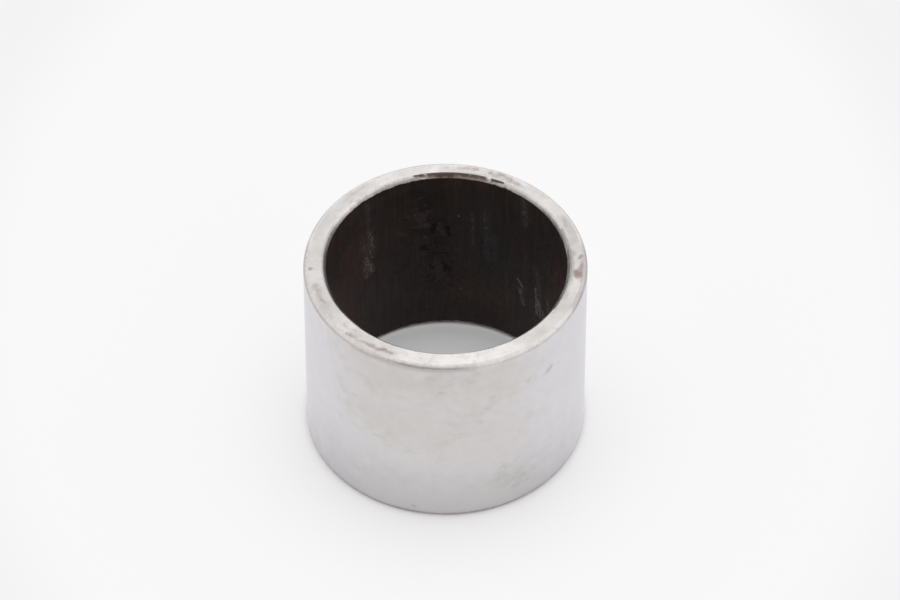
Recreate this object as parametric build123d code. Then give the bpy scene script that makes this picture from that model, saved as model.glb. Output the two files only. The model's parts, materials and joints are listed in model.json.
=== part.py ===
"""Spacer sleeve: a short steel tube, turned and ground outside, faced square at both ends.

Millimetres. The sleeve stands on its end: the origin is the centre of the lower face and +Z runs
along the axis. One piece, so one solid and one node.
"""

import os

from build123d import *

# Driving dimensions
outer_diameter = 54.0
wall = 4.0
length = 42.0
bore_chamfer = 0.8  # 45 degrees, lets the shaft in
edge_break = 0.4  # 45 degrees, takes the burr off the outside corners

outer_radius = outer_diameter / 2
bore_radius = outer_radius - wall


def half_section():
    """The wall's cut face in the XZ plane, from the bore out to the ground outside."""
    corners = [
        (bore_radius, bore_chamfer),
        (bore_radius + bore_chamfer, 0),
        (outer_radius - edge_break, 0),
        (outer_radius, edge_break),
        (outer_radius, length - edge_break),
        (outer_radius - edge_break, length),
        (bore_radius + bore_chamfer, length),
        (bore_radius, length - bore_chamfer),
    ]
    with BuildSketch(Plane.XZ) as section:
        with BuildLine():
            Polyline(*corners, close=True)
        make_face()
    return section.sketch


def spacer_sleeve():
    """The section turned once round the Z axis."""
    with BuildPart() as sleeve:
        add(half_section())
        revolve(axis=Axis.Z)
    return sleeve.part


os.makedirs("parts", exist_ok=True)
export_step(spacer_sleeve(), "parts/spacer_sleeve.step")
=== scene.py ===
import json
import math

import bpy
import numpy as np
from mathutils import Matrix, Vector, noise


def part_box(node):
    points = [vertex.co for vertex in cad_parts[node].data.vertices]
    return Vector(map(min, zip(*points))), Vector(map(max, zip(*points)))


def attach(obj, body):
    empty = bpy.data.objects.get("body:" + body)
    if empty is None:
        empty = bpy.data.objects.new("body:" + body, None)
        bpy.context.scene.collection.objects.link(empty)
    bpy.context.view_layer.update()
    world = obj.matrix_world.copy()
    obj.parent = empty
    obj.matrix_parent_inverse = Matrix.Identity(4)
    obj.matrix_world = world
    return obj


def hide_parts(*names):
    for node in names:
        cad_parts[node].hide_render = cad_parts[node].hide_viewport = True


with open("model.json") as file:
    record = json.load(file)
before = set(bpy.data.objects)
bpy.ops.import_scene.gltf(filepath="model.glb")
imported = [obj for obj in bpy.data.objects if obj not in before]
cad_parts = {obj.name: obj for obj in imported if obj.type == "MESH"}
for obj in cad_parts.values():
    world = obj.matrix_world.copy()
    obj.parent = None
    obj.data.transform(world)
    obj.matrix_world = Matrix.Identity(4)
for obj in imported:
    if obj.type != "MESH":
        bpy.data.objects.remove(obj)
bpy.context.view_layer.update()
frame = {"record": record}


# ---- The tube, cut off and turned ----------------------------------------------------------------
# A ring of thick-walled steel tube, parted off and faced square at both ends, with its outside
# ground true. Its section is drawn once, its corners are cut, and it is spun round the axis.

mm = 0.001
low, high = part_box("spacer_sleeve")
length = high.z - low.z
outer_radius = high.x
mounts = {mount["name"]: mount["dims"] for mount in frame["record"]["mounts"]}
bore_radius = mounts["bore"]["r_mm"] * mm
bore_chamfer = (length - mounts["bore"]["length_mm"] * mm) / 2
wall = outer_radius - bore_radius
mid_wall = bore_radius + wall / 2
edge_break = 0.8 * mm
edge_fullness = 0.42  # of the rounding at the outside corners, between a flat cut and a quadrant
mouth_lip = 0.2 * mm  # the slight rounding between an end face and its chamfer
near = 0.005 * mm  # how close to a surface a corner has to be, to count as on it
turn_steps = 480


def pick(part, kind, where):
    """Selects in edit mode the vertices, edges or faces of part whose corners satisfy where."""
    bpy.ops.object.mode_set(mode="EDIT")
    bpy.ops.mesh.select_mode(type=kind)
    bpy.ops.mesh.select_all(action="DESELECT")
    bpy.ops.object.mode_set(mode="OBJECT")
    points = [v.co for v in part.data.vertices]
    if kind == "VERT":
        for vertex in part.data.vertices:
            vertex.select = where([vertex.co])
    else:
        elements = part.data.edges if kind == "EDGE" else part.data.polygons
        for element in elements:
            element.select = where([points[i] for i in element.vertices])
    bpy.ops.object.mode_set(mode="EDIT")


def reach(point):
    """How far a point is from the sleeve's axis."""
    return math.hypot(point.x, point.y)


def inside_end(point):
    """How far a point is below the upper end or above the lower one, whichever is nearer."""
    return min(point.z, length - point.z)


def on_bore(points):
    """Whether corners all lie on the bore."""
    return all(reach(p) < bore_radius + near for p in points)


def on_outside(points):
    """Whether they all lie on the ground outside."""
    return all(reach(p) > outer_radius - near for p in points)


def on_end(points):
    """Whether they all lie on an end face."""
    return all(inside_end(p) < near for p in points)


def on_mouth(points):
    """Whether they all lie on the chamfer of a mouth, or further in."""
    return all(reach(p) < bore_radius + bore_chamfer + 2 * mouth_lip for p in points)


bpy.ops.object.select_all(action="DESELECT")
bpy.ops.mesh.primitive_plane_add(
    size=1,
    location=(mid_wall, 0, length / 2),
    rotation=(math.pi / 2, 0, 0),
)
sleeve = bpy.context.object
sleeve.name = "turned_sleeve"
sleeve.scale = (wall, length, 1)
bpy.ops.object.transform_apply(location=True, rotation=True, scale=True)

pick(sleeve, "VERT", on_bore)
bpy.ops.mesh.bevel(offset=bore_chamfer, segments=1, affect="VERTICES")
pick(sleeve, "VERT", lambda points: on_end(points) and on_mouth(points))
bpy.ops.mesh.bevel(offset=mouth_lip, segments=2, affect="VERTICES")
pick(sleeve, "VERT", on_outside)
bpy.ops.mesh.bevel(offset=edge_break, segments=4, profile=edge_fullness, affect="VERTICES")
bpy.ops.mesh.select_all(action="SELECT")
bpy.ops.mesh.delete(type="ONLY_FACE")
bpy.ops.mesh.select_all(action="SELECT")
bpy.ops.mesh.spin(steps=turn_steps, angle=2 * math.pi, center=(0, 0, 0), axis=(0, 0, 1))
bpy.ops.mesh.select_all(action="SELECT")
bpy.ops.mesh.remove_doubles(threshold=near)
bpy.ops.mesh.normals_make_consistent(inside=False)

# Each surface gets a finish of its own, named here and made in the section that shows it.
finishes = ("scraped_mouth", "broken_corner", "faced_end", "ground_outside", "mill_scale")
corner_start = outer_radius - edge_break - near
for finish in finishes:
    sleeve.data.materials.append(bpy.data.materials.new(finish))
for finish, where in (
    ("broken_corner", lambda points: all(reach(p) > corner_start for p in points)),
    ("faced_end", on_end),
    ("ground_outside", on_outside),
    ("mill_scale", on_bore),
):
    pick(sleeve, "FACE", where)
    sleeve.active_material_index = finishes.index(finish)
    bpy.ops.object.material_slot_assign()

# The bore was left as rolled, a little off the centre of the ground outside, and a scraper was
# taken round its mouths by hand, so the end faces are narrower at the back and right than in front.
bore_offset = Vector((0.23, 0.42, 0)) * mm
bore_growth = 0.999
scraper_offset = Vector((0.2, 0.33, 0)) * mm
scraper_growth = 0.9935


def shift(part, where, offset, growth):
    """Moves whole rings of the part sideways, after making them wider or narrower."""
    pick(part, "VERT", where)
    bpy.ops.transform.resize(value=(growth, growth, 1), center_override=(0, 0, 0))
    bpy.ops.transform.translate(value=offset)


mouth_ring = bore_radius + bore_chamfer / 2
shift(
    sleeve,
    lambda points: on_mouth(points) and reach(points[0]) > mouth_ring,
    scraper_offset,
    scraper_growth,
)
shift(sleeve, on_bore, bore_offset, bore_growth)


def rise(points):
    """How far an edge climbs along the sleeve."""
    return abs(points[0].z - points[-1].z)


def spread(points):
    """How far an edge runs outwards from the axis."""
    return abs(reach(points[0]) - reach(points[-1]))


# The rings are divided closely enough to carry the relief and the marks that are laid on them.
bore_cuts, outside_cuts, end_cuts, chamfer_cuts = 99, 59, 8, 3
for where, cuts in (
    (lambda points: rise(points) > length / 2 and reach(points[0]) < mid_wall, bore_cuts),
    (lambda points: rise(points) > length / 2 and reach(points[0]) > mid_wall, outside_cuts),
    (lambda points: spread(points) > wall / 3, end_cuts),
    (lambda points: min(rise(points), spread(points)) > bore_chamfer / 3, chamfer_cuts),
):
    pick(sleeve, "EDGE", where)
    bpy.ops.mesh.subdivide(number_cuts=cuts)
sharpest_smooth = math.radians(28)
bpy.ops.object.mode_set(mode="OBJECT")
bpy.ops.object.shade_smooth_by_angle(angle=sharpest_smooth)


# ---- The bore, left as rolled --------------------------------------------------------------------
# The inside of the tube still has the black mill scale of the rolling, flaked in scabs and drawn
# out in streaks along the axis, with bright scratches where something was pushed through it.

def places(part):
    """The angle of each vertex round the axis in degrees, and its reach and height in millimetres."""
    points = np.empty(len(part.data.vertices) * 3, np.float32)
    part.data.vertices.foreach_get("co", points)
    x, y, z = points.reshape(-1, 3).T / mm
    return np.degrees(np.arctan2(y, x)), np.hypot(x, y), z


# A wandering offset for each vertex keeps the marks from having drawn edges. The seed makes it
# the same on every run.
wander_pace = 0.55  # for each millimetre
noise.seed_set(5)
wander = np.array(
    [noise.noise_vector(vertex.co * wander_pace / mm) for vertex in sleeve.data.vertices]
)


def wears(part, finish):
    """Which vertices lie on a face of this finish."""
    slots = np.empty(len(part.data.polygons), np.int32)
    part.data.polygons.foreach_get("material_index", slots)
    corners = np.empty(len(part.data.loops), np.int32)
    part.data.loops.foreach_get("vertex_index", corners)
    found = np.zeros(len(part.data.vertices), bool)
    found[corners.reshape(-1, 4)[slots == finishes.index(finish)]] = True
    return found


def keep(part, name, values):
    """Stores one number for each vertex, as an attribute that materials read.

    Where the attribute is there already, the larger number stays.
    """
    layer = part.data.attributes.get(name) or part.data.attributes.new(name, "FLOAT", "POINT")
    before = np.empty(len(values), np.float32)
    layer.data.foreach_get("value", before)
    layer.data.foreach_set("value", np.maximum(before, values).astype(np.float32))


def paint(part, name, finish, marks, ragged=0.6):
    """Lays soft marks on the faces of one finish, at the upper end of the part or along its walls.

    A mark runs from one angle and place to another: the place is the height in millimetres, or
    the distance from the axis on an end. Then come its half width in millimetres and its strength.
    How ragged it is says how many millimetres its edge wanders.
    """
    angle, radius, height = places(part)
    across = radius if finish == "faced_end" else height
    shown = wears(part, finish)
    if finish in ("faced_end", "scraped_mouth", "broken_corner"):
        shown = shown & (height > length / mm / 2)
    value = np.zeros(len(angle))
    least_square = 1e-9  # so that a mark may be a round spot, which runs nowhere
    for start_angle, start, end_angle, end, half_width, strength in marks:
        turned = (angle - start_angle + 180) % 360 - 180
        along = np.radians(turned) * radius + ragged * wander[:, 0]
        aside = across - start + ragged * wander[:, 1]
        run = math.radians(end_angle - start_angle) * radius
        climb = end - start
        square = np.maximum(run**2 + climb**2, least_square)
        share = np.clip((along * run + aside * climb) / square, 0, 1)
        gap = np.hypot(along - share * run, aside - share * climb) / half_width
        value = np.maximum(value, strength * np.clip(1 - gap**2, 0, 1) ** 2)
    keep(part, name, value * shown)


def group(part, name, values):
    """A vertex group that holds back a modifier, with one weight for each vertex."""
    made = part.vertex_groups.new(name=name)
    least_weight = 0.01
    for i in np.nonzero(values > least_weight)[0].tolist():
        made.add([i], float(values[i]), "REPLACE")


def roughen(part, name, size, strength, direction="NORMAL", middle_level=0.5):
    """Presses cloudy relief into the vertices of one group, and applies it."""
    texture = bpy.data.textures.new(name + "_relief", "CLOUDS")
    texture.noise_scale = size
    texture.noise_depth = 2
    texture.noise_basis = "IMPROVED_PERLIN"
    modifier = part.modifiers.new(name, "DISPLACE")
    modifier.texture = texture
    modifier.texture_coords = "LOCAL"
    modifier.direction = direction
    modifier.mid_level = middle_level
    modifier.strength = strength
    modifier.vertex_group = name
    bpy.ops.object.modifier_apply(modifier=modifier.name)


# Each mark is: angle, height, angle, height, half width, strength.
scabs = [
    (105.5, 35.8, 101, 36.2, 1.1, 0.5),
    (101, 36.2, 99.5, 33.8, 1.0, 0.5),
    (106, 33, 103, 32.6, 0.9, 0.5),
    (107.5, 31.6, 104, 30.6, 1.5, 0.75),
    (104, 31.4, 100.5, 30.4, 1.7, 0.8),
    (100.5, 31.2, 97.5, 32, 1.2, 0.7),
    (106.5, 28.2, 103.5, 29, 1.3, 0.75),
    (102.5, 28.9, 98, 28.2, 1.5, 0.8),
    (114, 27.6, 108.5, 26.8, 1.2, 0.7),
    (111.5, 25.6, 109, 24.2, 0.7, 0.6),
    (93.4, 28, 90.2, 26.2, 1.5, 1.0),
    (101, 25.4, 99.5, 24.8, 0.8, 0.6),
    (96.5, 23.8, 95, 22.6, 0.9, 0.7),
    (95.8, 18.8, 92, 18.4, 0.9, 0.9),
    (94.6, 17.8, 92.4, 14.6, 2.1, 1.1),
    (101.5, 12.6, 96, 12.2, 0.6, 0.9),
    (96, 12.2, 90.6, 13.8, 0.8, 0.9),
    (110.6, 18.2, 109.2, 17.0, 0.7, 0.5),
]
# The pits are pressed in, and painted nearly black as shade, in them and beside the lumps.
shaded_pits = [
    (96.6, 28.2, 95.4, 26.2, 0.6, 0.9),
    (88.2, 28, 87.4, 25.4, 0.7, 0.8),
    (106.5, 28.2, 104, 27.8, 0.5, 0.8),
    (100.4, 22.8, 98.6, 21.4, 0.7, 1.0),
    (98.6, 20.3, 89.8, 20.3, 0.65, 1.0),
    (98.4, 17.6, 97.2, 16.4, 0.6, 1.0),
    (89.8, 17.4, 88.8, 15.8, 0.65, 1.0),
    (108.6, 34.4, 106.6, 33.8, 0.5, 0.7),
    (98, 33.4, 96.4, 34.2, 0.6, 0.7),
    (93.4, 24.6, 90.6, 24.4, 0.5, 0.7),
    (108, 24.4, 106.6, 23.8, 0.5, 0.6),
    (100.4, 14.0, 98, 14.4, 0.5, 0.6),
]
scratches = [
    (129.4, 31.8, 128, 24.8, 1.6, 0.66),
    (133, 30, 131.4, 24.8, 1.8, 0.5),
    (131.4, 24.6, 128.6, 20.8, 1.6, 0.88),
    (133.2, 22.8, 131, 19.8, 1.4, 0.7),
    (130.4, 35.6, 129.4, 31.6, 1.2, 0.45),
    (131.4, 40.2, 130, 37.2, 1.2, 0.4),
    (52.6, 17.8, 50.2, 16.2, 0.8, 1.0),
    (51.6, 15.2, 49.6, 11.6, 1.1, 0.85),
    (41.4, 18.2, 40.8, 11.4, 0.65, 1.1),
    (39.6, 15.6, 37.6, 11.6, 1.15, 1.05),
    (35.8, 13.8, 35.2, 12, 0.85, 0.95),
    (31.8, 18, 31.2, 15.4, 0.9, 0.72),
    (41, 24, 38.6, 17, 1.4, 0.5),
    (77, 32, 76.8, 23.4, 0.6, 0.48),
    (70.6, 33, 69, 20, 1.6, 0.42),
    (66.4, 27, 65.4, 20, 1.2, 0.4),
    (50.4, 40.2, 48.6, 34, 1.6, 0.5),
    (59.6, 18, 59.2, 10.4, 0.7, 0.45),
]
specks = [
    (83.9, 30.9, 83.7, 30.7, 0.4, 1.0),
    (85.6, 28, 85.4, 27.9, 0.35, 0.8),
    (77.4, 26, 77.4, 24.8, 0.35, 0.62),
    (82.6, 10.4, 82.6, 10.0, 0.4, 0.8),
]
burns = [
    (100, 37, 94, 25, 7, 1.0),
    (94, 25, 92, 11, 6, 0.8),
    (112, 22, 106, 12, 4, 0.5),
    (66, 5, 116, 5, 6, 0.45),
]
brown_hazes = [
    (158, 22, 146, 10, 8, 1.0),
    (20, 30, 27, 19, 5, 0.5),
    (140, 31, 138, 22, 5, 0.6),
    (84, 10, 62, 8, 5, 0.5),
]
blue_hazes = [
    (74, 34, 66, 20, 6, 1.0),
    (84, 32, 58, 30, 4, 0.6),
    (50, 39, 46, 34, 3, 0.7),
]
for name, marks, ragged in (
    ("scab", scabs, 0.8),
    ("shaded_pit", shaded_pits, 0.8),
    ("scratch", scratches, 0.3),
    ("speck", specks, 0.2),
    ("burnt", burns, 2),
    ("ruddy", brown_hazes, 4),
    ("blued", blue_hazes, 4),
):
    paint(sleeve, name, "mill_scale", marks, ragged)

angle, _, height = places(sleeve)
in_bore = wears(sleeve, "mill_scale")
in_mouth = wears(sleeve, "scraped_mouth")
to_end = np.minimum(height, length / mm - height)
chamfer_depth = bore_chamfer / mm
fade_below_chamfer = 2.5
down_lip = np.clip(to_end / chamfer_depth, 0, 1) * in_mouth
below_lip = np.clip(1 - (to_end - chamfer_depth) / fade_below_chamfer, 0, 1) * in_bore
# The scraper chattered at the back only, so the edge is even round the rest of the ring.
back_angle, chatter_reach, chatter_fade, least_chatter = 95, 58, 16, 0.2
from_back = np.abs(angle - back_angle)
chattered = np.clip((chatter_reach - from_back) / chatter_fade, least_chatter, 1)
keep(sleeve, "lip", down_lip)
keep(sleeve, "chattered", chattered * in_mouth)
group(sleeve, "bore", in_bore)
group(sleeve, "mouth_edge", np.where(in_mouth, down_lip, below_lip) * chattered)
for name in ("scab", "shaded_pit"):
    values = np.empty(len(angle), np.float32)
    sleeve.data.attributes[name].data.foreach_get("value", values)
    group(sleeve, name, values)
roughen(sleeve, "bore", size=3.5 * mm, strength=0.12 * mm)
roughen(sleeve, "mouth_edge", size=1.6 * mm, strength=0.5 * mm, direction="Z")
roughen(sleeve, "scab", size=1.1 * mm, strength=0.3 * mm, middle_level=0.1)
roughen(sleeve, "shaded_pit", size=1.1 * mm, strength=-0.2 * mm, middle_level=0.1)
sleeve.vertex_groups.clear()


# Shading is laid out in nodes, with lengths in metres.
per_mm = 1 / mm


def open_material(name):
    """The node tree and the shader of a material."""
    material = bpy.data.materials[name]
    material.use_nodes = True
    return material.node_tree, material.node_tree.nodes["Principled BSDF"]


def feed(tree, socket, value):
    """Links a socket's value to another's input, or writes a plain number or colour into it."""
    if isinstance(value, bpy.types.NodeSocket):
        tree.links.new(value, socket)
    else:
        socket.default_value = value


def add(tree, kind, settings=(), **inputs):
    """Adds a shader node with its settings and inputs."""
    node = tree.nodes.new("ShaderNode" + kind)
    for name, value in dict(settings).items():
        setattr(node, name, value)
    for name, value in inputs.items():
        feed(tree, node.inputs[name.replace("_", " ")], value)
    return node


def painted(tree, name):
    """How strong a painted mark is at each point."""
    return add(tree, "Attribute", {"attribute_name": name}).outputs["Fac"]


def stretched(tree, x, y, z):
    """Object coordinates, stretched along the axes by which they are made smaller."""
    here = add(tree, "TexCoord").outputs["Object"]
    return add(tree, "Mapping", Vector=here, Scale=(x, y, z)).outputs["Vector"]


def cloud(tree, vector, scale, detail=3.0, roughness=0.55):
    """Cloudy noise of so many blotches a metre."""
    return add(
        tree, "TexNoise", Vector=vector, Scale=scale, Detail=detail, Roughness=roughness
    ).outputs["Fac"]


def ease(tree, value, low, high, to_low=0.0, to_high=1.0):
    """Carries a value smoothly from one range to another."""
    node = add(
        tree,
        "MapRange",
        {"interpolation_type": "SMOOTHSTEP"},
        Value=value,
        From_Min=low,
        From_Max=high,
        To_Min=to_low,
        To_Max=to_high,
    )
    return node.outputs["Result"]


def maths(tree, operation, first, second):
    """Works one number out of two."""
    node = add(tree, "Math", {"operation": operation})
    feed(tree, node.inputs[0], first)
    feed(tree, node.inputs[1], second)
    return node.outputs[0]


def tint(tree, amount, first, second):
    """A colour between first and second."""
    node = add(tree, "Mix", {"data_type": "RGBA"}, Factor=amount)
    colour_inputs = node.inputs[6], node.inputs[7]
    for socket, colour in zip(colour_inputs, (first, second)):
        feed(tree, socket, colour if isinstance(colour, bpy.types.NodeSocket) else (*colour, 1))
    return node.outputs[2]


def washed(tree, colour, mark, share, new_colour):
    """A colour taken towards a new one, as far as a mark's strength times a share."""
    return tint(tree, maths(tree, "MULTIPLY", mark, share), colour, new_colour)


def broken(tree, mark, grain, share=0.5, low=0.3, high=0.55):
    """A painted mark with its edge eaten away by the grain."""
    worn = maths(tree, "MULTIPLY", maths(tree, "SUBTRACT", grain, 0.5), share)
    kept = ease(tree, maths(tree, "ADD", mark, worn), low, high)
    return maths(tree, "MULTIPLY", kept, ease(tree, mark, 0, 0.15))


def raised(tree, height, distance, strength=1.0, under=None):
    """Fine relief that light shows, on top of any relief under it."""
    node = add(tree, "Bump", Height=height, Distance=distance, Strength=strength)
    if under is not None:
        feed(tree, node.inputs["Normal"], under)
    return node.outputs["Normal"]


tree, shader = open_material("mill_scale")
everywhere = stretched(tree, 1, 1, 1)
# The scale itself: blotches, streaks along the axis and a fine grain, between two near blacks.
streaks = cloud(tree, stretched(tree, 1, 1, 0.04), 2.4 * per_mm, 5, 0.65)
patches = cloud(tree, everywhere, 0.3 * per_mm, 6, 0.6)
hues = cloud(tree, stretched(tree, 1, 1, 0.6), 0.16 * per_mm, 2)
grain = cloud(tree, stretched(tree, 1, 1, 0.8), 2.2 * per_mm, 4, 0.7)
tone = maths(tree, "MULTIPLY", patches, 0.22)
tone = maths(tree, "ADD", tone, maths(tree, "MULTIPLY", streaks, 0.44))
tone = maths(tree, "ADD", tone, maths(tree, "MULTIPLY", grain, 0.34))
cool = ease(tree, hues, 0.4, 0.6)
dark_scale = tint(tree, cool, (0.013, 0.007, 0.0045), (0.012, 0.0072, 0.0075))
pale_scale = tint(tree, cool, (0.036, 0.022, 0.016), (0.035, 0.0225, 0.023))
colour = tint(tree, ease(tree, tone, 0.38, 0.62), dark_scale, pale_scale)
# Painted light: the scale is paler towards the foot, where the table's light reaches into the bore.
height_up = add(tree, "SeparateXYZ", Vector=everywhere).outputs["Z"]
foot_light = ease(tree, height_up, 0.9 * length, 0.2 * length, 0, 0.8)
foot_light_colour = tint(tree, ease(tree, streaks, 0.38, 0.62), (0.045, 0.0315, 0.0285), (0.06, 0.0425, 0.039))
colour = tint(tree, foot_light, colour, foot_light_colour)
# Burnt, brown and blued hazes come next, and then the scabs, pits, scratches and specks.
burnt = maths(tree, "MULTIPLY", painted(tree, "burnt"), ease(tree, patches, 0.35, 0.6, 0.85, 0.5))
colour = tint(tree, burnt, colour, (0.009, 0.0048, 0.003))
ruddy = maths(tree, "MULTIPLY", painted(tree, "ruddy"), ease(tree, patches, 0.3, 0.65, 0.3, 0.75))
colour = tint(tree, ruddy, colour, (0.08, 0.036, 0.031))
colour = washed(tree, colour, painted(tree, "blued"), 0.5, (0.019, 0.02, 0.028))
flakes = cloud(tree, everywhere, 1.1 * per_mm, 4, 0.65)
crust = broken(tree, painted(tree, "scab"), flakes, 0.9, 0.25, 0.6)
flaked = ease(tree, flakes, 0.4, 0.65)
crust_colour = tint(tree, flaked, (0.033, 0.0225, 0.021), (0.058, 0.042, 0.039))
colour = washed(tree, colour, crust, 0.85, crust_colour)
# Painted shade: the pits are nearly black.
pit_shade = broken(tree, painted(tree, "shaded_pit"), flakes, 1.1, 0.3, 0.7)
colour = washed(tree, colour, pit_shade, 0.85, (0.004, 0.003, 0.0025))
lines = cloud(tree, stretched(tree, 1, 1, 0.4), 4.2 * per_mm, 3, 0.7)
scratched = painted(tree, "scratch")
colour = washed(tree, colour, scratched, 0.1, (0.3, 0.26, 0.24))
scored = broken(tree, scratched, lines, 3.4, 0.55, 1.4)
colour = washed(tree, colour, scored, 0.8, (0.35, 0.3, 0.28))
glint = broken(tree, painted(tree, "speck"), grain, 0.5, 0.4, 0.6)
colour = tint(tree, glint, colour, (0.12, 0.105, 0.1))
feed(tree, shader.inputs["Base Color"], colour)
feed(tree, shader.inputs["Roughness"], ease(tree, grain, 0.3, 0.7, 0.48, 0.72))
shader.inputs["Specular IOR Level"].default_value = 0.22
relief = raised(tree, patches, 0.25 * mm, 0.6)
relief = raised(tree, streaks, 0.05 * mm, 0.8, relief)
relief = raised(tree, grain, 0.08 * mm, 0.8, relief)
relief = raised(tree, maths(tree, "SUBTRACT", crust, pit_shade), 0.18 * mm, 1.0, relief)
feed(tree, shader.inputs["Normal"], relief)


# ---- The chamfers and the broken corners ---------------------------------------------------------
# The scraper left the mouths bright and a little ragged where it met the scale. At the back it
# barely bit, and brown oxide is left. The outside corners were only broken with a file.

# Each mark is as in the bore, and its height is on the chamfer or the corner at the upper end.
paint(
    sleeve,
    "oxide",
    "scraped_mouth",
    [
        (104.4, 41.95, 100.5, 41.95, 0.42, 0.75),
        (101, 41.9, 97, 41.9, 0.7, 0.6),
        (97, 41.8, 92, 41.7, 1.3, 0.85),
        (92, 41.7, 80, 41.6, 1.5, 1.0),
        (80, 41.6, 72, 41.7, 1.3, 0.9),
        (67.5, 41.9, 62.5, 42, 0.55, 0.9),
        (119, 41.8, 117, 41.7, 0.4, 0.3),
    ],
    ragged=0.2,
)
# Where the oxide is rubbed it is paler, and there and at the right the painted shade down the
# chamfer is lighter.
paint(
    sleeve,
    "wear_and_less_shade",
    "scraped_mouth",
    [
        (84, 41.2, 70, 41.2, 1.5, 1.25),
        (103, 41.2, 97, 41.2, 1.5, 1.0),
        (97, 41.2, 90, 41.1, 0.6, 0.8),
        (334, 41.5, 371, 41.5, 4, 1.0),
    ],
)
# Painted shade on the chamfers at the sides, darkest down at the scale, and on the rounding at the
# right, where it darkens the highlight.
paint(
    sleeve,
    "side_shade",
    "scraped_mouth",
    [
        (-30, 42.0, 22, 42.0, 0.35, 1.25),
        (21, 41.6, 34, 41.6, 4, 0.5),
        (34, 41.6, 52, 41.6, 4, 0.3),
        (50, 42.0, 66, 42.0, 0.35, 0.6),
        (103, 41.6, 126, 41.6, 0.8, 0.45),
        (126, 41.7, 136, 41.8, 0.7, 0.3),
        (160, 41.6, 205, 41.6, 5, 0.7),
    ],
    ragged=0,
)
# Painted shade along the upper corner, in front and at the sides, where it mirrors the dark opening.
paint(
    sleeve,
    "grime_and_shade",
    "broken_corner",
    [
        (172, 41.7, 240, 41.7, 4, 0.42),
        (240, 41.7, 280, 41.7, 3, 0.3),
        (295, 41.7, 335, 41.7, 5, 0.18),
        (338, 41.7, 366, 41.7, 4, 0.6),
    ],
    ragged=0.2,
)
# Painted shade: the lower corner is darkened all the way round, where it meets the table.
foot_corner_shade = 0.9
near_foot = places(sleeve)[2] < 2 * edge_break / mm
keep(sleeve, "grime_and_shade", foot_corner_shade * (wears(sleeve, "broken_corner") & near_foot))


def bright_steel(name, colour_low, colour_high, roughness_low, roughness_high, anisotropy):
    """Lays out what every finish of cut steel shares, and returns what each goes on from."""
    tree, shader = open_material(name)
    everywhere = stretched(tree, 1, 1, 1)
    mottle = cloud(tree, everywhere, 0.22 * per_mm, 6, 0.6)
    grain = cloud(tree, everywhere, 2.2 * per_mm, 5, 0.65)
    colour = tint(tree, ease(tree, mottle, 0.36, 0.64), colour_low, colour_high)
    shader.inputs["Metallic"].default_value = 1
    shader.inputs["Anisotropic"].default_value = anisotropy
    shader.inputs["Anisotropic Rotation"].default_value = 0.25
    round_axis = add(tree, "Tangent", {"direction_type": "RADIAL", "axis": "Z"})
    feed(tree, shader.inputs["Tangent"], round_axis.outputs["Tangent"])
    roughness = ease(tree, mottle, 0.35, 0.65, roughness_low, roughness_high)
    feed(tree, shader.inputs["Roughness"], roughness)
    return tree, shader, colour, mottle, grain


def cover(tree, shader, mark, share):
    """Takes the metal's gleam away where a mark covers it."""
    covered = maths(tree, "MULTIPLY", mark, share)
    feed(tree, shader.inputs["Metallic"], maths(tree, "SUBTRACT", 1.0, covered))


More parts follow.
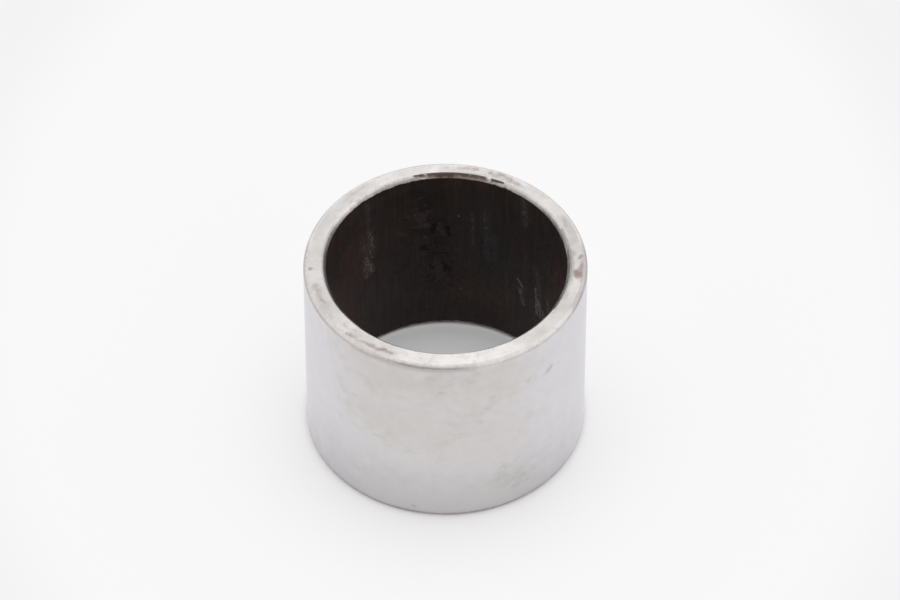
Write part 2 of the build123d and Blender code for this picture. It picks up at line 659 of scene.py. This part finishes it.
for name in ("scraped_mouth", "broken_corner"):
    tree, shader, colour, _, grain = bright_steel(
        name, (0.63, 0.6, 0.58), (0.7, 0.675, 0.655), 0.32, 0.42, 0.3
    )
    chatter = cloud(tree, stretched(tree, 1, 1, 0.2), 1.1 * per_mm, 4, 0.7)
    colour = tint(tree, ease(tree, chatter, 0.4, 0.7, 0, 0.35), colour, (0.4, 0.37, 0.35))
    # The lip runs from 0 at the end face to 1 at the scale, and the scraper left its edge uneven.
    lip, side_shade, wear_and_less_shade = painted(tree, "lip"), painted(tree, "side_shade"), painted(tree, "wear_and_less_shade")
    uneven = maths(tree, "SUBTRACT", chatter, 0.5)
    uneven = maths(tree, "MULTIPLY", uneven, ease(tree, side_shade, 0, 0.5, 0.9, 0.15))
    shaken = ease(tree, painted(tree, "chattered"), least_chatter, 1, 0.35, 1)
    uneven = maths(tree, "MULTIPLY", uneven, shaken)
    uneven_lip = maths(tree, "ADD", lip, uneven)
    # Painted shade: the chamfer darkens down towards the scale, less where it is rubbed.
    lip_shade = ease(tree, uneven_lip, 0.2, 1.0, 0, 0.6)
    lip_shade = maths(tree, "MULTIPLY", lip_shade, ease(tree, wear_and_less_shade, 0, 1, 1, 0.4))
    colour = tint(tree, lip_shade, colour, (0.2, 0.185, 0.17))
    # Painted shade at the sides, strongest down at the scale.
    side_shaded = maths(tree, "MULTIPLY", side_shade, ease(tree, uneven_lip, -0.8, 0.9, 0, 0.9))
    colour = tint(tree, side_shaded, colour, (0.07, 0.065, 0.064))
    scale_left = ease(tree, uneven_lip, 0.84, 1.04)
    colour = tint(tree, scale_left, colour, (0.02, 0.016, 0.015))
    # Brown oxide is left in fibres where the scraper barely bit.
    fibres = cloud(tree, stretched(tree, 1, 1, 0.12), 2.4 * per_mm, 4, 0.75)
    oxide = broken(tree, painted(tree, "oxide"), fibres, 1.9, 0.1, 0.75)
    patchy = maths(tree, "ADD", maths(tree, "MULTIPLY", lip, 0.4), fibres)
    patchy = maths(tree, "ADD", patchy, maths(tree, "MULTIPLY", wear_and_less_shade, 0.35))
    browns = tint(tree, ease(tree, patchy, 0.72, 1.3), (0.066, 0.042, 0.033), (0.28, 0.22, 0.2))
    colour = washed(tree, colour, oxide, 0.96, browns)
    # Painted shade darkens the corners here.
    grime_and_shade = broken(tree, painted(tree, "grime_and_shade"), grain, 0.4, 0.0, 0.9)
    colour = washed(tree, colour, grime_and_shade, 0.5, (0.26, 0.23, 0.24))
    feed(tree, shader.inputs["Base Color"], colour)
    shader.inputs["Specular IOR Level"].default_value = 0.15
    cover(tree, shader, maths(tree, "MAXIMUM", scale_left, oxide), 0.9)
    relief = raised(tree, grain, 0.03 * mm, 0.5)
    feed(tree, shader.inputs["Normal"], raised(tree, chatter, 0.1 * mm, 0.7, relief))


# ---- The faced ends ------------------------------------------------------------------------------
# Both ends were faced in the lathe, so fine rings run round them and stretch the light across
# them. Rust has started in small brown spots and one smear.

# On an end the place of a mark is its distance from the axis.
paint(
    sleeve,
    "rust",
    "faced_end",
    [
        (183.4, 25.6, 182.4, 25.5, 0.7, 0.8),
        (193, 25.4, 197, 25.0, 1.0, 0.56),
        (199, 25.2, 203.5, 25.0, 1.0, 0.6),
        (211, 25.5, 213, 25.4, 0.8, 0.5),
        (224, 25.8, 234, 25.5, 1.0, 0.6),
        (234, 25.5, 246.5, 25.0, 1.1, 0.72),
        (218, 24.8, 230, 24.6, 0.6, 0.4),
        (354.4, 25.3, 353.4, 25.3, 1.6, 1.15),
        (355.5, 25.6, 359, 26.0, 0.9, 0.8),
        (4, 25.8, 3.2, 25.6, 0.8, 1.0),
        (76, 25.8, 80, 25.6, 0.9, 0.55),
        (82, 25.6, 84.5, 25.4, 0.9, 0.6),
        (86.5, 25.9, 89, 25.6, 0.8, 0.35),
        (57, 25.0, 61, 25.4, 1.2, 0.7),
        (61, 25.4, 66, 25.7, 1.2, 0.7),
        (66, 25.0, 70, 25.2, 0.9, 0.7),
        (130, 25.6, 139, 25.4, 1.1, 0.42),
        (124, 25.8, 128, 25.6, 0.9, 0.36),
    ],
    ragged=0.5,
)
# A few spots of grime, and painted shade along the mouth and along the outer edge at the right and
# in front.
paint(
    sleeve,
    "grime_and_shade",
    "faced_end",
    [
        (26, 25.3, 24, 25.1, 0.9, 0.85),
        (350, 24.0, 369, 24.0, 0.7, 1.1),
        (364, 26.3, 350, 26.4, 1.2, 0.9),
        (348, 26.5, 338, 26.6, 0.9, 0.3),
        (12, 24.6, 18, 24.8, 0.9, 0.45),
        (112, 24.4, 98, 24.4, 0.6, 0.3),
        (215, 26.5, 285, 26.5, 0.6, 0.35),
        (150, 24.4, 120, 24.6, 0.8, 0.35),
        (70, 24.6, 52, 24.8, 0.9, 0.6),
        (82, 24.3, 70, 24.4, 0.7, 0.6),
    ],
    ragged=0.5,
)
# Painted shade: the face is darker everywhere but in front, most at its sides, where its rings
# mirror less light, and at the mouth on the right.
paint(
    sleeve,
    "painted_shade",
    "faced_end",
    [
        (348, 25.4, 378, 25.4, 8, 0.62),
        (-32, 23.7, 22, 23.7, 1.5, 1.5),
        (34, 25.4, 48, 25.4, 4, 0.5),
        (56, 24.8, 74, 24.8, 3.4, 0.5),
        (73, 24.6, 90, 24.6, 2.6, 0.7),
        (15, 25.4, 26, 25.4, 4, 1.0),
        (195, 25.4, 206, 25.4, 4, 1.0),
        (104, 25.4, 124, 25.4, 4, 0.4),
        (128, 25.4, 150, 25.4, 5, 0.85),
        (150, 25.4, 218, 25.4, 9, 0.75),
        (226, 25.4, 244, 25.4, 6, 0.8),
        (255, 25.4, 262, 25.4, 3, 0.3),
        (314, 25.4, 332, 25.4, 8, 0.8),
    ],
    ragged=1,
)


def from_middle(tree, vector):
    """How far a point is from the middle."""
    return add(tree, "VectorMath", {"operation": "LENGTH"}, Vector=vector).outputs["Value"]


tree, shader, colour, mottle, _ = bright_steel(
    "faced_end", (0.705, 0.68, 0.66), (0.78, 0.755, 0.735), 0.3, 0.38, 0.6
)
# Painted shade, broken a little by the mottle.
painted_shade = maths(tree, "MULTIPLY", painted(tree, "painted_shade"), ease(tree, mottle, 0.3, 0.65, 1, 0.7))
colour = tint(tree, painted_shade, colour, (0.5, 0.475, 0.46))
# The turned rings change with the distance from the axis, and only slowly round it.
from_axis = from_middle(tree, stretched(tree, 1, 1, 0))
drift = add(tree, "SeparateXYZ", Vector=stretched(tree, 0.06, 0.06, 0)).outputs
rings = add(tree, "CombineXYZ", X=from_axis, Y=drift["X"], Z=drift["Y"]).outputs["Vector"]
tooling = cloud(tree, rings, 3.2 * per_mm, 4, 0.7)
colour = tint(tree, ease(tree, tooling, 0.42, 0.62, 0, 0.16), colour, (0.54, 0.52, 0.505))
rubs = cloud(tree, stretched(tree, 1, 1, 1), 0.8 * per_mm, 5, 0.65)
colour = tint(tree, ease(tree, rubs, 0.46, 0.7, 0, 0.45), colour, (0.5, 0.475, 0.46))
rust = broken(tree, painted(tree, "rust"), rubs, 1.2, 0.1, 1.1)
colour = washed(tree, colour, rust, 0.85, (0.25, 0.175, 0.145))
# Grime, and painted shade at the mouth and the outer edge.
grime_and_shade = broken(tree, painted(tree, "grime_and_shade"), rubs, 1.2, 0.1, 1.0)
colour = washed(tree, colour, grime_and_shade, 0.5, (0.34, 0.32, 0.32))
feed(tree, shader.inputs["Base Color"], colour)
cover(tree, shader, rust, 0.5)
relief = raised(tree, rubs, 0.04 * mm, 0.4)
feed(tree, shader.inputs["Normal"], raised(tree, tooling, 0.015 * mm, 0.4, relief))


# ---- The ground outside --------------------------------------------------------------------------
# The outside was ground between centres and wiped down, which leaves a satin skin of fine rings,
# a few faint smears and some scuffs near the foot. A warm, darker tint at the front and the back is
# a painted reflection of the room, and painted dark reflections run along the foot and under the
# upper corner in front.

# Painted shade: a warm, darker reflection of the room on the front, and the same on the back.
paint(
    sleeve,
    "painted_shade",
    "ground_outside",
    [
        (238, 37, 290, 36, 14, 1.0),
        (240, 26, 290, 22, 14, 0.9),
        (248, 10, 296, 8, 10, 0.35),
        (70, 30, 110, 18, 18, 0.8),
    ],
    ragged=5,
)
paint(
    sleeve,
    "rust",
    "ground_outside",
    [
        (269.2, 35.4, 267.4, 35.1, 0.8, 0.55),
        (317.8, 33.0, 315.6, 32.4, 1.0, 0.8),
        (322.2, 32.3, 320.8, 32.0, 0.7, 0.5),
        (306.4, 33.7, 305, 33.2, 0.7, 0.55),
        (310, 33.2, 309, 33, 0.6, 0.4),
        (257.2, 2.3, 256.4, 2.0, 0.6, 0.9),
        (222.4, 32.2, 221.2, 32, 0.8, 0.4),
        (253.4, 32.6, 252, 32.4, 0.8, 0.35),
    ],
    ragged=0.4,
)
paint(
    sleeve,
    "grime_and_shade",
    "ground_outside",
    [
        (290, 8, 304, 4, 3.6, 0.55),
        (299, 9.6, 304, 5.6, 2.2, 0.75),
        (294, 11.6, 305, 14, 1.4, 0.75),
        (288, 6.2, 297, 7.8, 1.4, 0.65),
        (298, 2.4, 306, 2.8, 1.4, 0.6),
        (194, 5, 207, 3.4, 2.0, 0.6),
        (200, 6.8, 207, 5.4, 1.2, 0.5),
        (277, 25.2, 292, 32, 1.6, 0.4),
        (312, 32.2, 322, 31.4, 1.4, 0.4),
    ],
    ragged=0.7,
)
paint(
    sleeve,
    "smudge",
    "ground_outside",
    [
        (292, 9, 305, 7, 5.2, 0.75),
        (301, 9.6, 304, 6, 1.8, 0.9),
        (268, 21, 280, 25, 3.4, 0.5),
        (276, 26, 290, 31, 3.6, 0.75),
        (262, 38.4, 279, 38.8, 3.4, 0.8),
        (268, 35, 272, 35.4, 1.6, 0.6),
        (226, 29, 238, 31.8, 3.2, 0.3),
        (216, 10, 232, 8, 3.8, 0.35),
        (256, 18, 272, 15.6, 3.2, 0.4),
        (238, 20, 254, 17, 3.2, 0.4),
        (310, 24, 316, 21, 3, 0.35),
    ],
    ragged=1.5,
)
# Painted dark reflection: the outside darkens towards the foot, where it mirrors the shaded table,
# and in a line under the upper corner in front, where it mirrors the dark opening.
broad_dark_reflection = [(228, -2, 306, -2, 22, 1.0), (70, -2, 110, -2, 20, 0.7)]
narrow_dark_reflection = [(230, 41.4, 281, 41.4, 1.1, 1.4), (196, 2.4, 207, 2.4, 3, 0.45)]
paint(sleeve, "painted_dark_reflection", "ground_outside", broad_dark_reflection, ragged=3)
paint(sleeve, "painted_dark_reflection", "ground_outside", narrow_dark_reflection, ragged=0.2)
tree, shader, colour, mottle, grain = bright_steel(
    "ground_outside", (0.72, 0.703, 0.724), (0.758, 0.741, 0.763), 0.32, 0.4, 0.35
)
# The painted shade of the room's reflection. The smears show more where it lies.
front_shade_mark = painted(tree, "painted_shade")
painted_shade = maths(tree, "MULTIPLY", front_shade_mark, ease(tree, mottle, 0.3, 0.6, 0.6, 1))
colour = washed(tree, colour, painted_shade, 0.9, (0.665, 0.63, 0.603))
grinding = cloud(tree, stretched(tree, 0.03, 0.03, 1), 4 * per_mm, 4, 0.7)
colour = tint(tree, ease(tree, grinding, 0.42, 0.64, 0, 0.05), colour, (0.5, 0.485, 0.48))
smears = cloud(tree, stretched(tree, 0.75, 0.75, 1), 0.5 * per_mm, 6, 0.65)
smear_share = ease(tree, front_shade_mark, 0, 0.8, 0.1, 0.26)
smeared = maths(tree, "MULTIPLY", ease(tree, smears, 0.46, 0.74), smear_share)
colour = tint(tree, smeared, colour, (0.56, 0.53, 0.515))
rust = broken(tree, painted(tree, "rust"), grain, 1.0, 0.1, 1.0)
colour = washed(tree, colour, rust, 0.5, (0.3, 0.22, 0.2))
# Painted dark reflection, towards the foot and under the upper corner.
colour = washed(tree, colour, painted(tree, "painted_dark_reflection"), 0.36, (0.36, 0.345, 0.345))
# Scuffs run slantwise, so their grain is laid on the outside unrolled, along and up.
spot = add(tree, "SeparateXYZ", Vector=stretched(tree, 1, 1, 1)).outputs
along = maths(tree, "MULTIPLY", maths(tree, "ARCTAN2", spot["Y"], spot["X"]), outer_radius)
unrolled = add(tree, "CombineXYZ", X=along, Y=spot["Z"]).outputs["Vector"]
slant = math.radians(26)
stroke_length = 5  # for a width of 1
strokes = add(
    tree,
    "Mapping",
    {"vector_type": "TEXTURE"},
    Vector=unrolled,
    Rotation=(0, 0, slant),
    Scale=(stroke_length, 1, 1),
).outputs["Vector"]
scuffs = cloud(tree, strokes, 1.6 * per_mm, 3, 0.55)
grime_and_shade = broken(tree, painted(tree, "grime_and_shade"), scuffs, 3.4, 0.5, 1.6)
colour = washed(tree, colour, grime_and_shade, 0.45, (0.33, 0.315, 0.305))
smudge = broken(tree, painted(tree, "smudge"), smears, 2.2, 0.2, 1.5)
colour = washed(tree, colour, smudge, 0.4, (0.46, 0.435, 0.41))
feed(tree, shader.inputs["Base Color"], colour)
cover(tree, shader, rust, 0.3)
relief = raised(tree, smears, 0.05 * mm, 0.25)
feed(tree, shader.inputs["Normal"], raised(tree, grinding, 0.008 * mm, 0.3, relief))

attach(sleeve, "root")
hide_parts("spacer_sleeve")


# ---- The floor -----------------------------------------------------------------------------------
# A plain white table top, matt, with a grain too fine to see. The sleeve stands on its lower
# end on it, and shades it softly.

table_size = 3
bpy.ops.object.select_all(action="DESELECT")
bpy.ops.mesh.primitive_plane_add(size=table_size, location=(0, 0, 0))
floor = bpy.context.object
floor.name = "floor"
table_top = bpy.data.materials.new("table_top")
floor.data.materials.append(table_top)
tree, shader = open_material("table_top")
blotches = cloud(tree, stretched(tree, 1, 1, 1), 12, 3)
colour = tint(tree, ease(tree, blotches, 0.3, 0.7), (0.895, 0.897, 0.905), (0.91, 0.91, 0.912))
feed(tree, shader.inputs["Base Color"], colour)
feed(tree, shader.inputs["Roughness"], ease(tree, blotches, 0.3, 0.7, 0.9, 1))
shader.inputs["Specular IOR Level"].default_value = 0
table_grain = cloud(tree, stretched(tree, 1, 1, 1), 900)
feed(tree, shader.inputs["Normal"], raised(tree, table_grain, 0.02 * mm, 0.1))


def graded(tree, value, stops):
    """A colour that follows a value from 0 to 1, through stops of a place and its colour."""
    ramp = add(tree, "ValToRGB", Fac=value)
    elements = ramp.color_ramp.elements
    for place, colour in stops:
        between = 0 < place < 1
        element = elements.new(place) if between else elements[0 if place == 0 else -1]
        element.color = (*colour, 1)
    return ramp.outputs["Color"]


# The shadow on it is lifted with distance, and left dark in the corners under the foot. Its
# middle lies a little in front of the axis. Each step is a distance in millimetres and a lift.
shadow_reach = 60
shadow_shift = 2.5 * mm
shadow_steps = (
    (0, 0.37),
    (17, 0.33),
    (21.5, 0.27),
    (24, 0.22),
    (26.2, 0.26),
    (28, 0.33),
    (31, 0.38),
    (36, 0.46),
    (41, 0.58),
    (shadow_reach, 0.86),
)
here = add(tree, "TexCoord").outputs["Object"]
ahead = add(tree, "Mapping", Vector=here, Location=(0, shadow_shift, 0)).outputs["Vector"]
away = maths(tree, "DIVIDE", from_middle(tree, ahead), shadow_reach * mm)
lift = graded(tree, away, [(reached / shadow_reach, 3 * (level,)) for reached, level in shadow_steps])
out = from_middle(tree, here)
inside_foot = ease(tree, out, bore_radius + 0.65 * mm, bore_radius)
outside_foot = ease(tree, out, outer_radius - 0.4 * mm, outer_radius + 1.6 * mm)
lifted = maths(tree, "MULTIPLY", lift, maths(tree, "ADD", inside_foot, outside_foot))
paths = add(tree, "LightPath").outputs
seen = maths(tree, "MAXIMUM", paths["Is Camera Ray"], paths["Is Glossy Ray"])
seen = maths(tree, "MAXIMUM", seen, paths["Is Transmission Ray"])
# Beyond an oval round the sleeve, the painted glow on the table top is a little greyer, where the
# tent's light falls off.
grey_shift = (0, -22 * mm, 0)
grey_shape = (1, 0.74, 1)
oval = add(tree, "Mapping", Vector=here, Location=grey_shift, Scale=grey_shape).outputs["Vector"]
greyer = ease(tree, from_middle(tree, oval), 84 * mm, 106 * mm)
glow = tint(tree, greyer, (0.936, 0.936, 0.94), (0.88, 0.88, 0.888))
glow = add(tree, "Emission", Color=glow).outputs["Emission"]
veil = add(tree, "MixShader", Fac=maths(tree, "MULTIPLY", seen, lifted))
feed(tree, veil.inputs[1], shader.outputs["BSDF"])
feed(tree, veil.inputs[2], glow)
feed(tree, tree.nodes["Material Output"].inputs["Surface"], veil.outputs["Shader"])


# ---- The light -----------------------------------------------------------------------------------
# A tent of white cloth, dim at its foot and brightest in a band half-way up and another near the
# top. The camera looks in through a brownish opening, which cut edges that face it mirror darkly,
# and a lit patch of cloth hangs behind the sleeve.

world = bpy.data.worlds.new("tent")
bpy.context.scene.world = world
world.use_nodes = True
tree = world.node_tree
sight = add(tree, "TexCoord").outputs["Generated"]
up = add(tree, "SeparateXYZ", Vector=sight).outputs["Z"]
cloth_steps = (
    (0, (0.78, 0.78, 0.8034)),
    (0.5, (1.5, 1.5, 1.5)),
    (0.72, (1, 1, 1)),
    (0.88, (1.42, 1.42, 1.42)),
    (1, (1, 1, 1)),
)
colour = graded(tree, up, cloth_steps)
towards_opening = Vector((-0.22, -0.85, 0.47)).normalized()
towards_back = Vector((0, 1, 0))
# Each patch is a direction, its whole size and the size of its middle as angles, and its colour.
for middle, edge_angle, full_angle, patch_colour in (
    (towards_opening, 38, 16, (0.37, 0.33, 0.31)),
    (towards_back, 30, 8, (1.1, 1.1, 1.1)),
):
    facing = add(tree, "VectorMath", {"operation": "DOT_PRODUCT"})
    feed(tree, facing.inputs[0], sight)
    facing.inputs[1].default_value = middle
    edge, full = math.cos(math.radians(edge_angle)), math.cos(math.radians(full_angle))
    colour = tint(tree, ease(tree, facing.outputs["Value"], edge, full), colour, patch_colour)
feed(tree, tree.nodes["Background"].inputs["Color"], colour)


# ---- The camera ----------------------------------------------------------------------------------
# A long lens on a stand more than a metre off, in front of the sleeve and above it, looks down
# over the rim into the bore, with a margin of table all round.

stand = Vector((0, -744.2, 828.6)) * mm
aim = Vector((0.87, 0, 31.8)) * mm
bpy.ops.object.camera_add(location=stand)
camera = bpy.context.object
camera.rotation_mode = "QUATERNION"
camera.rotation_quaternion = (aim - stand).to_track_quat("-Z", "Y")
camera.data.sensor_width = 36
camera.data.lens = 228.2
bpy.context.scene.camera = camera
bpy.context.scene.view_settings.view_transform = "Standard"
